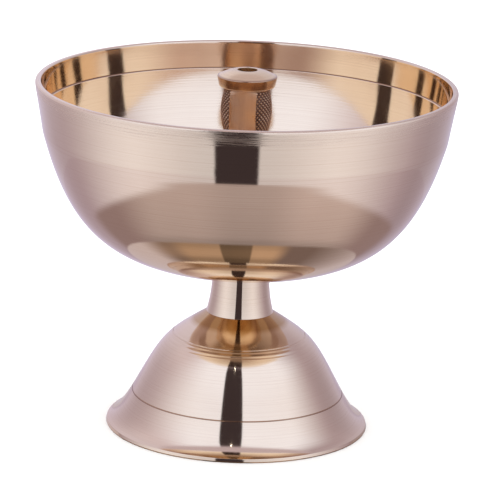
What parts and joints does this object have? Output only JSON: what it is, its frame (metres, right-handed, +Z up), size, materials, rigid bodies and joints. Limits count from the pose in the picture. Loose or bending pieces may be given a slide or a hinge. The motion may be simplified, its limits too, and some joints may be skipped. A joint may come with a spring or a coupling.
{
  "type": "pedestal oil lamp",
  "caption": "Turned brass pedestal oil lamp: round bowl on a waisted stem and bell-shaped foot, with a central wick post and lift-off wick cap.",
  "frame": {"origin": "centre of the foot's resting ring, on the surface the lamp stands on", "axes": "+Z up along the lamp's turned axis; the lamp is round, so X and Y run across the wick post's oil ports and milled channels"},
  "size_m": [0.1008, 0.1008, 0.088],
  "materials": {
    "bowl_brass": "polished, with fine turning marks",
    "stem_brass": "mirror polished",
    "foot_brass": "polished, lightly scratched",
    "cap_brass": "satin turned",
    "knurled_brass": "knurled and darkened",
    "seal_fibre": "matt red fibre",
    "plated_steel": "zinc plated"
  },
  "bodies": {
    "lamp": {"bowl": "bowl_brass", "wick_post": "knurled_brass", "post_seal": "seal_fibre", "stem": "stem_brass", "foot": "foot_brass", "foot_washer": "plated_steel", "foot_nut": "plated_steel", "tie_stud": "plated_steel"},
    "cap": {"wick_cap": "cap_brass"}
  },
  "joints": [
    {"name": "cap_lift", "type": "slide", "parent": "lamp", "child": "cap", "axis": [0, 0, 1], "range_m": [0, 0.02]}
  ]
}
